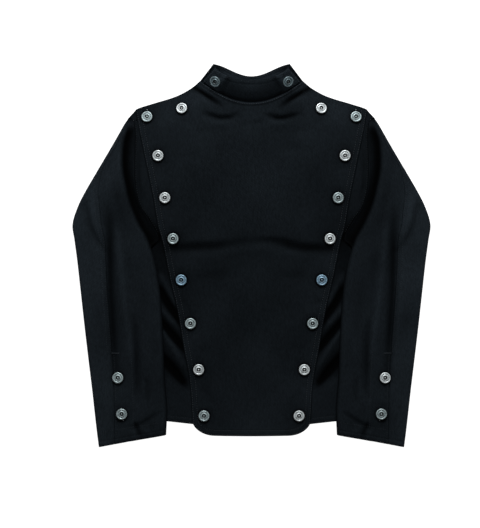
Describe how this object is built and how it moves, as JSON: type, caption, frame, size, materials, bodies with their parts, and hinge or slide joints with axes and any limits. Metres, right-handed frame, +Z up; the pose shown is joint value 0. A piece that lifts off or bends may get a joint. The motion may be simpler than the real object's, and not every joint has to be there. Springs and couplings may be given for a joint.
{
  "type": "fencing jacket",
  "caption": "Heavy cotton jacket laid flat, with a buttoned bib front, stand collar and sleeves with buttoned cuff vents.",
  "frame": {"origin": "middle of the bounding box, on the surface that the jacket lies on", "axes": "+X towards the wearer's left side, +Y from hem to collar, +Z up from the surface, out of the bib"},
  "size_m": [0.6462, 0.6878, 0.031],
  "materials": {
    "twill": "heavy black cotton twill, matt",
    "button_metal": "antiqued grey tack button"
  },
  "bodies": {
    "root": {"back": "twill", "bib": "twill", "collar_back": "twill", "collar_front": "twill", "front_left": "twill", "sleeve_left_top": "twill", "sleeve_left_under": "twill", "front_right": "twill", "sleeve_right_top": "twill", "sleeve_right_under": "twill", "button_left_shoulder_inner": "button_metal", "button_left_shoulder_outer": "button_metal", "button_left_bib_1": "button_metal", "button_left_bib_2": "button_metal", "button_left_bib_3": "button_metal", "button_left_bib_4": "button_metal", "button_left_bib_5": "button_metal", "button_left_bib_6": "button_metal", "button_left_bib_7": "button_metal", "button_left_cuff_upper": "button_metal", "button_left_cuff_lower": "button_metal", "button_left_collar": "button_metal", "button_right_shoulder_inner": "button_metal", "button_right_shoulder_outer": "button_metal", "button_right_bib_1": "button_metal", "button_right_bib_2": "button_metal", "button_right_bib_3": "button_metal", "button_right_bib_4": "button_metal", "button_right_bib_5": "button_metal", "button_right_bib_6": "button_metal", "button_right_bib_7": "button_metal", "button_right_cuff_upper": "button_metal", "button_right_cuff_lower": "button_metal", "button_right_collar": "button_metal"}
  },
  "joints": []
}
